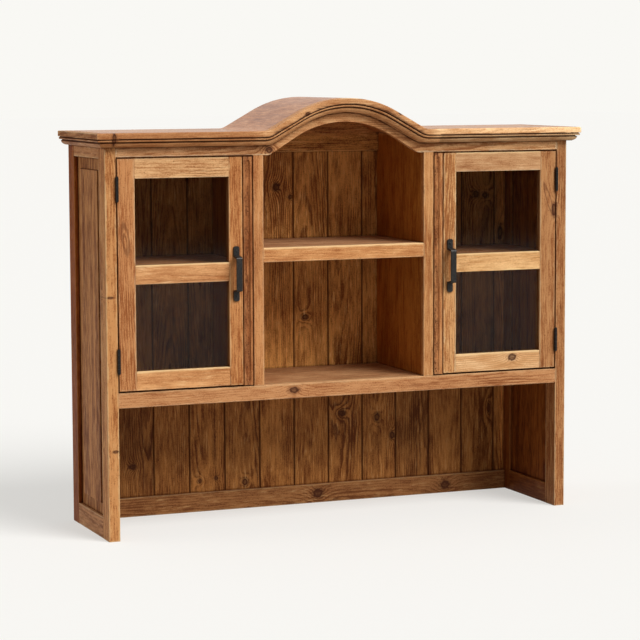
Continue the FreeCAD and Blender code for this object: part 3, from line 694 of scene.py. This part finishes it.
def close_slits(bm):
    """Drop stray edges and fill the slits that two roundings can leave where they meet."""
    stray = [edge for edge in bm.edges if not edge.link_faces]
    bmesh.ops.delete(bm, geom=stray, context="EDGES")
    rims = [edge for edge in bm.edges if edge.is_boundary]
    if rims:
        bmesh.ops.holes_fill(bm, edges=rims, sides=0)


def carry_over(bm):
    """Give a vertex that the bevel left bare the attributes of the vertex beside it."""
    layers = [bm.verts.layers.float_vector[name] for name in stored]
    half = layers[stored.index("board_half")]
    for vert in bm.verts:
        if vert[half].length > 0:
            continue
        for edge in vert.link_edges:
            beside = edge.other_vert(vert)
            if beside[half].length > 0:
                for layer in layers:
                    vert[layer] = beside[layer]
                break


def wander(verts, depth, low, high):
    """Let rounded arrises wander a little, always inwards."""
    for vert in verts:
        drift = 0.5 + 0.5 * noise.noise(vert.co * 31.0)
        vert.co -= vert.normal * (depth * drift)
        for axis in range(3):
            vert.co[axis] = min(max(vert.co[axis], low[axis]), high[axis])


def store_grime_and_shade(bm, node):
    """Store on each vertex how closed in it is, most of all where a joint is beside it; the
    finishes paint dirt and shade from it.
    """
    grime = bm.verts.layers.float_vector.new("board_grime")
    depth = {}
    for vert in bm.verts:
        worst = outward = closed_in(vert.co, vert.normal, node)
        tried = [vert.normal]
        for face in vert.link_faces:
            if all(face.normal.dot(normal) < same_way for normal in tried):
                tried.append(face.normal)
                worst = max(worst, closed_in(vert.co, face.normal, node))
        depth[vert] = (outward + worst) / 2
    for _ in range(seep_passes):
        seeped = {}
        for vert in bm.verts:
            beside = [depth[edge.other_vert(vert)] * (1 - edge.calc_length() / seep_reach)
                      for edge in vert.link_edges]
            seeped[vert] = max([depth[vert]] + beside)
        depth = seeped
    for vert in bm.verts:
        vert[grime] = Vector((depth[vert], 0.0, 0.0))


def in_scene(name, data):
    """A new object in the scene that holds the data."""
    made = bpy.data.objects.new(name, data)
    bpy.context.scene.collection.objects.link(made)
    return made


def as_object(bm, name, material, smooth_below):
    """An object of the mesh, smooth but for edges sharper than so many degrees."""
    mesh = bpy.data.meshes.new(name)
    bm.to_mesh(mesh)
    bm.free()
    mesh.materials.append(material)
    mesh.shade_smooth()
    mesh.set_sharp_from_angle(angle=math.radians(smooth_below))
    return in_scene(name, mesh)


def split_by_solid(mesh):
    """The polygons of each solid; solids that touch each other stay apart."""
    corner = [tuple(round(c * corners_per_metre) for c in vert.co) for vert in mesh.vertices]
    sides = {}
    for face in mesh.polygons:
        round_it = [corner[index] for index in face.vertices]
        for start, end in zip(round_it, round_it[1:] + round_it[:1]):
            sides.setdefault((start, end), []).append(face)
    leader = list(range(len(mesh.polygons)))

    def first_of(index):
        while leader[index] != index:
            leader[index] = leader[leader[index]]
            index = leader[index]
        return index

    for (start, end), here in sides.items():
        for face in here:
            beside = [other for other in sides.get((end, start), ())
                      if face.normal.dot(other.normal) > back_to_back]
            if len(beside) == 1:
                ends = sorted((first_of(face.index), first_of(beside[0].index)))
                leader[ends[1]] = ends[0]
    found = {}
    for face in mesh.polygons:
        found.setdefault(first_of(face.index), []).append(face)
    return list(found.values())


def merged_copy(node):
    """The node's solids as closed meshes with whole flat faces."""
    mesh = frame["nodes"][node].data
    bm = bmesh.new()
    for faces in split_by_solid(mesh):
        verts = {}
        for face in faces:
            for index in face.vertices:
                if index not in verts:
                    verts[index] = bm.verts.new(mesh.vertices[index].co)
            bm.faces.new([verts[index] for index in face.vertices])
        bmesh.ops.remove_doubles(bm, verts=list(verts.values()), dist=weld)
    bmesh.ops.dissolve_limit(bm, angle_limit=flat_within, verts=bm.verts, edges=bm.edges)
    return bm


def fit(piece, node):
    """Let the piece ride where its node rides, in the node's place."""
    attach(piece, frame["nodes"][node]["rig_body"])
    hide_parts(node)


def board(node, grain, material, slot, tone=(1.0, 1.0, 1.0), long_wear=0.0009,
          end_wear=0.0003, spacing=0.06, weave=0.0, variation=0.10, lean=None,
          smooth_below=3):
    """A wooden piece made from its node: worn arrises and grain along one axis."""
    rng = random.Random(node)
    bm = merged_copy(node)
    low, high = box_of([vert.co for vert in bm.verts])
    prepare_boards(bm, node, grain, spacing, weave, tone, variation, lean, rng)
    rounded = worn_edges(bm, grain, long_wear, end_wear)
    bm.normal_update()
    wander({vert for face in rounded for vert in face.verts}, long_wear * 0.35, low, high)
    bmesh.ops.dissolve_degenerate(bm, dist=smallest_edge, edges=bm.edges)
    close_slits(bm)
    bm.normal_update()
    carry_over(bm)
    store_grime_and_shade(bm, node)
    piece = as_object(bm, node + "_wood", material, smooth_below)
    fit(piece, node)
    return piece


def ironwork(node):
    """A forged piece made from its node: softened edges and a slightly uneven skin."""
    bm = merged_copy(node)
    low, high = box_of([vert.co for vert in bm.verts])
    rounded = worn_edges(bm, Z, iron_round, iron_round)
    bm.normal_update()
    wander({vert for face in rounded for vert in face.verts}, iron_unevenness, low, high)
    piece = as_object(bm, node + "_iron", iron, 35)
    fit(piece, node)


# ---------------------------------------------------------------- finishes in use
front_knots = (
    (-0.737, 0.7186, 0.010, 0.0034), (-0.7265, 0.2663, 0.009, 0.0045),
    (-0.2427, 1.1387, 0.011, 0.010), (-0.1669, 0.4181, 0.016, 0.010),
    (0.5642, 0.4815, 0.015, 0.012), (0.7085, 0.9385, 0.009, 0.020),
    (-0.7302, 1.1777, 0.007, 0.020), (-0.1328, 1.2443, 0.008, 0.006),
    (0.1684, 1.2442, 0.007, 0.005),
)
front_eyes = (
    (-0.6895, 0.888, 0.0100, 0.041, 0.13), (-0.6905, 0.876, 0.0055, 0.024, 0.12),
    (0.6900, 0.9690, 0.0070, 0.046, 0.32),
)
back_knots = (
    (-0.0825, 1.0096, 0.011, 0.013), (-0.0355, 0.9772, 0.006, 0.007),
    (0.0135, 0.5959, 0.010, 0.009), (-0.343, 0.0947, 0.006, 0.006),
    (-0.2898, 0.1005, 0.006, 0.006), (-0.1929, 0.081, 0.009, 0.012),
    (-0.5618, 0.154, 0.010, 0.008), (0.1396, 0.2813, 0.011, 0.010),
    (0.2618, 0.2611, 0.010, 0.014), (0.3147, 0.1991, 0.008, 0.012),
    (0.6131, 0.9715, 0.012, 0.011), (0.6456, 0.9675, 0.010, 0.010),
    (0.7006, 0.8421, 0.009, 0.026),
)
rail_knots = ((0.0506, 0.0302, 0.017, 0.015), (0.4984, 0.0262, 0.017, 0.014))

honey = (0.97, 0.95, 0.92)
amber = (0.80, 0.72, 0.64)


def from_left_to_right(left, middle, right):
    """A tone for the two wings and the arch between them."""
    def tone(place):
        leftness = min(max((-place.x - 0.27) / 0.05, 0.0), 1.0)
        rightness = min(max((place.x - 0.27) / 0.05, 0.0), 1.0)
        middleness = 1.0 - leftness - rightness
        return leftness * Vector(left) + middleness * Vector(middle) + rightness * Vector(right)
    return tone


front_tones = (shade(228, 168, 110), shade(176, 110, 60), shade(104, 50, 20))
# the pale tones below are partly paler wood and partly painted highlight, for the right door's mid
# and bottom rails
pale_highlit_tones = (shade(244, 198, 148), shade(204, 148, 96), shade(126, 68, 32))
case_tones = (shade(206, 146, 96), shade(156, 96, 54), shade(96, 48, 22))
panel_tones = (shade(224, 162, 108), shade(142, 82, 42), shade(82, 36, 14))
back_tones = (shade(206, 142, 80), shade(122, 66, 26), shade(62, 28, 8))
# the two tints below are painted shade, for inside the case and under the deck
inside_shade_tint = (0.70, 0.52, 0.22, 1.0)
niche_shade_tint = (0.50, 0.34, 0.18, 1.0)
stile_pine = pine("stile_pine", *front_tones, front_knots, front_eyes, figure=stile_plank)
rail_pine = pine("rail_pine", *front_tones, front_knots, painted_top_highlight=0.25)
# the frieze's strong dirt and painted shade make the shadow line under the crown
frieze_pine = pine("frieze_pine", *front_tones, front_knots, dirt_and_shade_gain=2.6)
crown_pine = pine("crown_pine", *front_tones, front_knots, figure=calm_plank, dirt_and_shade_gain=1.6)
return_pine = pine("return_pine", *case_tones, wear=0.3, dirt_and_shade_gain=2.0)
calm_pine = pine("calm_pine", *front_tones, front_knots, figure=calm_plank, painted_top_highlight=0.85)
pale_pine = pine("pale_pine", *pale_highlit_tones, front_knots, figure=calm_plank, painted_top_highlight=0.85)
strip_pine = pine("strip_pine", *front_tones, recess_stain_and_shade=0.95)
post_pine = pine("post_pine", *front_tones, figure=post_plank, wear=0.25, inside=inside_shade_tint)
side_pine = pine("side_pine", *case_tones, figure=side_plank, wear=0.3, inside=inside_shade_tint,
                 beneath=niche_shade_tint)
panel_pine = pine("panel_pine", *panel_tones, figure=side_plank, wear=0.3, inside=inside_shade_tint,
                  beneath=niche_shade_tint, shoulder=0.85)
shelf_pine = pine("shelf_pine", *case_tones, wear=0.3)
top_pine = pine("top_pine", *case_tones, wear=0.2, gloss=0.4, coat=0.15, rough_level=0.42)
# back boards: painted light inside the case and painted shade under the deck
back_pine = pine("back_pine", *back_tones, back_knots, figure=long_plank, wear=0.1,
                 inside=(1.17, 1.27, 1.16, 1.0), beneath=(0.86, 0.81, 0.70, 1.0),
                 seams=(-0.6110, 0.11725))
top_rail_pine = pine("top_rail_pine", *back_tones, wear=0.1, inside=(1.17, 1.27, 1.16, 1.0))
back_rail_pine = pine("back_rail_pine", shade(190, 132, 84), shade(134, 80, 44),
                      shade(84, 44, 20), rail_knots, wear=0.2)
iron = black_iron("black_iron", shade(36, 34, 33), shade(60, 56, 52))
hinge_iron = black_iron("hinge_iron", shade(20, 16, 14), shade(38, 33, 30))
glass = window_glass()
zinc_plate = zinc()
plastic = brown_plastic()

# grain, finish, tone and how far the long arrises are worn round
front_pieces = {
    "left_side_front_stile": (Z, stile_pine, (0.845, 0.76, 0.66), 0.0012),
    "left_door_hinge_stile": (Z, stile_pine, (0.86, 0.75, 0.70), 0.0010),
    "left_door_lock_stile": (Z, stile_pine, (0.84, 0.71, 0.60), 0.0010),
    "left_door_top_rail": (X, rail_pine, (1.07, 1.20, 1.36), 0.0016),
    "left_door_mid_rail": (X, calm_pine, (1.09, 1.11, 1.17), 0.0022),
    "left_door_bottom_rail": (X, calm_pine, (1.09, 1.07, 1.07), 0.0022),
    "left_strike_strip": (Z, strip_pine, (0.66, 0.51, 0.43), 0.0006),
    "right_side_front_stile": (Z, stile_pine, (0.72, 0.65, 0.61), 0.0012),
    "right_door_hinge_stile": (Z, stile_pine, (0.73, 0.67, 0.64), 0.0010),
    "right_door_lock_stile": (Z, stile_pine, (0.92, 0.93, 0.91), 0.0010),
    "right_door_top_rail": (X, calm_pine, (0.96, 1.08, 1.30), 0.0016),
    # these two rails are partly paler wood and partly painted highlight
    "right_door_mid_rail": (X, pale_pine, (1.08, 1.06, 0.92), 0.0022),
    "right_door_bottom_rail": (X, pale_pine, (1.20, 1.24, 1.24), 0.0022),
    "right_strike_strip": (Z, strip_pine, (0.82, 0.71, 0.64), 0.0006),
    "deck_front_rail": (X, rail_pine, (0.84, 0.78, 0.80), 0.0016),
    "centre_shelf_edge": (X, calm_pine, (1.10, 1.06, 1.02), 0.0014),
}


def back_tone(place):
    """The narrow board at the right end of the back is paler than the rest."""
    return Vector(honey) * (1.5 if place.x > 0.695 else 1.0)


def front_frame():
    """Legs, door frames, frieze, deck rail and shelf edge."""
    for name, (grain, finish, tone, wear) in front_pieces.items():
        board(name, grain, finish, "frame_pine", tone, wear)
    board("arched_frieze_rail", X, frieze_pine, "frame_pine",
          from_left_to_right((0.93, 0.96, 1.07), (0.90, 0.90, 0.94), (1.05, 1.15, 1.30)),
          0.0009, spacing=0.008, weave=0.004, smooth_below=20)


post_tones = {"left": (0.80, 0.71, 0.66), "right": (0.90, 0.86, 0.81)}
rear_tones = {"left": (0.53, 0.29, 0.10), "right": (0.88, 0.79, 0.66)}


def case_boards():
    """Side frames and panels, partitions, shelves, deck and tops."""
    for side in ("left", "right"):
        board(side + "_side_rear_stile", Z, side_pine, "frame_pine", rear_tones[side], 0.0012)
        board(side + "_side_top_rail", Y, side_pine, "frame_pine", honey, 0.0010)
        board(side + "_side_bottom_rail", Y, side_pine, "frame_pine", honey, 0.0010)
        board(side + "_side_panel", Z, panel_pine, "case_pine", (0.78, 0.68, 0.53), 0.0010)
        board(side + "_partition", Z, post_pine, "case_pine", post_tones[side], 0.0006)
        board(side + "_cabinet_shelf", X, shelf_pine, "case_pine", honey, 0.0012)
        board(side + "_top_board", X, top_pine, "case_pine", honey, 0.0008)
        board("crown_" + side + "_return", Y, return_pine, "frame_pine", honey, 0.0006,
              smooth_below=20)
    board("deck_board", X, shelf_pine, "case_pine", (0.87, 0.95, 1.05), 0.0008)
    board("centre_shelf", X, shelf_pine, "case_pine", (0.93, 1.06, 1.30), 0.0008)
    board("shelf_cleats", Y, side_pine, "case_pine", honey, 0.0008)


def back():
    """Boards of the back and the rails across their top and bottom."""
    for bay in ("left", "centre", "right"):
        board(bay + "_back_boards", Z, back_pine, "back_pine", back_tone, 0.0004, 0.0002, 0.09,
              variation=0.30)
    board("back_bottom_rail", X, back_rail_pine, "case_pine", (0.80, 0.76, 0.66), 0.0012)
    board("back_top_rail", X, top_rail_pine, "case_pine", honey, 0.0008)


def crown_tone_and_shade(place):
    """The right wing is palest along the band at its top; its lower mouldings, which face down, get
    painted shade.
    """
    across = from_left_to_right((0.76, 0.68, 0.64), (1.01, 1.04, 1.12), (1.64, 2.10, 2.72))
    return across(place) * (0.61 if place.x > 0.30 and place.z < 1.176 else 1.0)


def crown():
    board("crown_front_moulding", X, crown_pine, "frame_pine", crown_tone_and_shade, 0.0006,
          smooth_below=20)
    board("arched_top", Y, top_pine, "case_pine", (0.98, 0.79, 0.56), 0.0006, smooth_below=20)


def screw_tree(metal):
    """Geometry nodes: a flat slotted screw head at each point, facing the way it is told."""
    tree = bpy.data.node_groups.new("hinge_screws", "GeometryNodeTree")
    face = tree.interface
    face.new_socket("Places", in_out="INPUT", socket_type="NodeSocketGeometry")
    sizes = {"Head radius": 0.0036, "Head height": 0.0006, "Edge taper": 0.80,
             "Slot width": 0.0009, "Slot depth": 0.0004}
    for name, size in sizes.items():
        face.new_socket(name, in_out="INPUT", socket_type="NodeSocketFloat").default_value = size
    face.new_socket("Seed", in_out="INPUT", socket_type="NodeSocketInt").default_value = 4
    face.new_socket("Screws", in_out="OUTPUT", socket_type="NodeSocketGeometry")

    def node(kind, settings=None, **values):
        made = tree.nodes.new(kind)
        for key, setting in (settings or {}).items():
            setattr(made, key, setting)
        for key, value in values.items():
            socket = made.inputs[int(key[1:])] if key[1:].isdigit() else made.inputs[
                key.replace("_", " ")]
            if isinstance(value, bpy.types.NodeSocket):
                tree.links.new(value, socket)
            else:
                socket.default_value = value
        return made

    def times(name, factor):
        settings = {"operation": "MULTIPLY"}
        return node("ShaderNodeMath", settings, _0=given[name], _1=factor).outputs[0]

    given = node("NodeGroupInput").outputs
    disc = node("GeometryNodeMeshCylinder", {"fill_type": "NGON"}, Vertices=20,
                Radius=given["Head radius"], Depth=given["Head height"])
    top = node("GeometryNodeScaleElements", None, Geometry=disc.outputs["Mesh"],
               Selection=disc.outputs["Top"], Scale=given["Edge taper"])
    size = node("ShaderNodeCombineXYZ", None, _0=times("Head radius", 3.0),
                _1=given["Slot width"], _2=times("Slot depth", 2.0))
    bar = node("GeometryNodeMeshCube", None, Size=size.outputs[0])
    lift = node("ShaderNodeCombineXYZ", None, _2=times("Head height", 0.5))
    raised = node("GeometryNodeTransform", None, Geometry=bar.outputs["Mesh"],
                  Translation=lift.outputs[0])
    cut = node("GeometryNodeMeshBoolean", {"operation": "DIFFERENCE", "solver": "EXACT"},
               Mesh_1=top.outputs[0])
    tree.links.new(raised.outputs[0], cut.inputs["Mesh 2"])
    facing = node("GeometryNodeInputNamedAttribute", {"data_type": "FLOAT_VECTOR"},
                  Name="facing")
    turned = node("FunctionNodeAlignRotationToVector", {"axis": "Z"},
                  Vector=facing.outputs[0])
    spin = node("FunctionNodeRandomValue", {"data_type": "FLOAT"}, _2=0.0, _3=math.pi,
                Seed=given["Seed"])
    about = node("ShaderNodeCombineXYZ", None, _2=spin.outputs[1])
    spun = node("FunctionNodeRotateRotation", {"rotation_space": "LOCAL"},
                Rotation=turned.outputs[0], Rotate_By=about.outputs[0])
    placed = node("GeometryNodeInstanceOnPoints", None, Points=given["Places"],
                  Instance=cut.outputs["Mesh"], Rotation=spun.outputs[0])
    real = node("GeometryNodeRealizeInstances", None, Geometry=placed.outputs[0])
    coloured = node("GeometryNodeSetMaterial", None, Geometry=real.outputs[0], Material=metal)
    done = node("NodeGroupOutput")
    tree.links.new(coloured.outputs[0], done.inputs[0])
    return tree


def set_inputs(modifier, **values):
    """Set a geometry tree's inputs by the names that its sockets show."""
    for item in modifier.node_group.interface.items_tree:
        if item.in_out == "INPUT" and item.name.replace(" ", "_") in values:
            modifier[item.identifier] = values[item.name.replace(" ", "_")]


def hinge_screws():
    """Three screws in each hinge leaf, as one piece on each body."""
    tree = screw_tree(hinge_iron)
    places = {"case": [], "left_door": [], "right_door": []}
    for side, door in ((-1, "left_door"), (1, "right_door")):
        for middle in hinge_middles:
            for step in (-screw_step, 0.0, screw_step):
                for body, away, facing in (("case", leaf_face, -side), (door, -leaf_face, side)):
                    spot = Vector((side * (hinge_axis + away), screw_line, middle + step))
                    places[body].append((spot, Vector((facing, 0.0, 0.0))))
    for body, screws in places.items():
        points = bpy.data.meshes.new(body + "_hinge_screw_places")
        points.from_pydata([spot for spot, _ in screws], [], [])
        facing = points.attributes.new("facing", "FLOAT_VECTOR", "POINT")
        for index, (_, way) in enumerate(screws):
            facing.data[index].vector = way
        made = in_scene(body + "_hinge_screws", points)
        modifier = made.modifiers.new("screws", "NODES")
        modifier.node_group = tree
        set_inputs(modifier, Head_height=2 * screw_proud, Slot_depth=screw_proud * 1.6)
        plain = bpy.data.meshes.new_from_object(made.evaluated_get(
            bpy.context.evaluated_depsgraph_get()))
        made.modifiers.remove(modifier)
        made.data = plain
        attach(made, body)


def hardware():
    """Iron, glass, beads and catches."""
    for side in ("left", "right"):
        board(side + "_door_glazing_beads", Z, stile_pine, "frame_pine", amber, 0.0006)
        ironwork(side + "_pull")
        finish_node(side + "_pull_screws", iron)
        finish_node(side + "_door_hinge_leaves", hinge_iron)
        finish_node(side + "_door_upper_glass", glass)
        finish_node(side + "_door_lower_glass", glass)
        finish_node(side + "_catch_plate", zinc_plate)
    finish_node("hinge_case_leaves", hinge_iron)
    finish_node("hinge_pins", hinge_iron)
    finish_node("door_catches", plastic)
    hinge_screws()


def finish_node(node, material):
    """Give a carried-over node its finish."""
    slots = frame["nodes"][node].data.materials
    if not slots:
        slots.append(material)
    for index in range(len(slots)):
        slots[index] = material


front_frame()
case_boards()
back()
crown()
hardware()


# ---------------------------------------------------------------- studio
def backdrop_shader(name, seen, bounce):
    """Pale where it is looked at or mirrored, and plainer where it only sends light back."""
    paper = Finish(name)
    soft = paper.add("ShaderNodeBsdfDiffuse", {}, bounce)
    shadowed = paper.add("ShaderNodeBsdfDiffuse", {}, seen)
    bright = paper.add("ShaderNodeEmission", {}, shade(250, 249, 245), 1.0)
    plain = paper.add("ShaderNodeMixShader", {}, paper_glow, shadowed, bright)
    return paper.ending(paper.add("ShaderNodeMixShader", {}, looked_at(paper), soft, plain))


def looked_at(look):
    """1 for what the camera sees, straight, in a mirror or through glass, and otherwise 0."""
    rays = look.node("ShaderNodeLightPath", {}).outputs
    seen = Value(look, rays["Is Camera Ray"])
    for kind in ("Is Glossy Ray", "Is Transmission Ray"):
        seen = seen.at_least(Value(look, rays[kind]))
    return seen


def surroundings():
    """Even light all round, and a pale ground where it is looked at or mirrored."""
    air = Finish("studio", world=True)
    lit = air.add("ShaderNodeBackground", {}, (1.0, 1.0, 1.0, 1.0), world_level)
    seen = air.add("ShaderNodeBackground", {}, shade(249, 248, 244), 1.0)
    mix = air.add("ShaderNodeMixShader", {}, looked_at(air), lit, seen)
    bpy.context.scene.world = air.ending(mix)


def sheet(name, corners, material):
    """One flat, four-cornered piece of the studio."""
    mesh = bpy.data.meshes.new(name)
    mesh.from_pydata(corners, [], [(0, 1, 2, 3)])
    mesh.materials.append(material)
    return in_scene(name, mesh)


def studio():
    """Floor, lights, and dark flags that only mirrors see."""
    bpy.context.scene.view_settings.view_transform = "Standard"
    surroundings()
    paper = backdrop_shader("studio_floor", (1.0, 0.99, 0.96, 1.0), (0.5, 0.49, 0.47, 1.0))
    corners = [(-floor_reach, -floor_reach, 0), (floor_reach, -floor_reach, 0),
               (floor_reach, floor_reach, 0), (-floor_reach, floor_reach, 0)]
    floor = sheet("studio_floor", corners, paper)

    dark_cloth = Finish("dark_cloth").surface(Base_Color=shade(12, 11, 10), Roughness=1.0)
    for name, corners in flags:
        flag = sheet(name, corners, dark_cloth)
        flag.visible_camera = flag.visible_diffuse = flag.visible_shadow = False
        flag.visible_transmission = False

    for name, toward, strength, spread in lamps:
        lamp = bpy.data.lights.new(name, "SUN")
        lamp.energy = strength
        lamp.angle = math.radians(spread)
        placed = in_scene(name, lamp)
        placed.rotation_euler = Vector(toward).to_track_quat("Z", "Y").to_euler()


world_level, floor_reach, paper_glow = 0.30, 60.0, 0.55
lamps = (
    ("key_light", (0.42, -0.66, 0.70), 2.75, 35.0),
    ("side_light", (-1.0, 0.30, 0.30), 0.45, 30.0),
)
flags = (
    ("front_flag", ((-3.0, -10.2, 0.0), (9.0, -10.2, 0.0),
                    (9.0, -10.2, 5.0), (-3.0, -10.2, 5.0))),
    ("side_flag", ((-1.6, 5.0, 0.0), (-9.0, 5.0, 0.0), (-9.0, 5.0, 3.0), (-1.6, 5.0, 3.0))),
)


def camera():
    """The eye, turned to look along its yaw, pitch and roll."""
    yaw, pitch, roll = 0.3866, 0.1059, 0.0036
    stands_at, film = (-2.7052, -6.6143, 1.3729), 36.0
    pixels, focal, middle_x, middle_y = 640.0, 2327.1, 320.2, 317.65
    right = Vector((math.cos(yaw), -math.sin(yaw), 0.0))
    ahead = Vector((math.sin(yaw) * math.cos(pitch), math.cos(yaw) * math.cos(pitch),
                    -math.sin(pitch)))
    down = ahead.cross(right)
    turned_right = math.cos(roll) * right + math.sin(roll) * down
    turned_down = -math.sin(roll) * right + math.cos(roll) * down
    lens = bpy.data.cameras.new("camera")
    lens.sensor_width = film
    lens.lens = film * focal / pixels
    lens.shift_x = (pixels / 2 - middle_x) / pixels
    lens.shift_y = (middle_y - pixels / 2) / pixels
    lens.clip_end = 100.0
    placed = in_scene("camera", lens)
    turn = Matrix((turned_right, -turned_down, -ahead)).transposed()
    placed.matrix_world = Matrix.Translation(stands_at) @ turn.to_4x4()
    bpy.context.scene.camera = placed


studio()
camera()
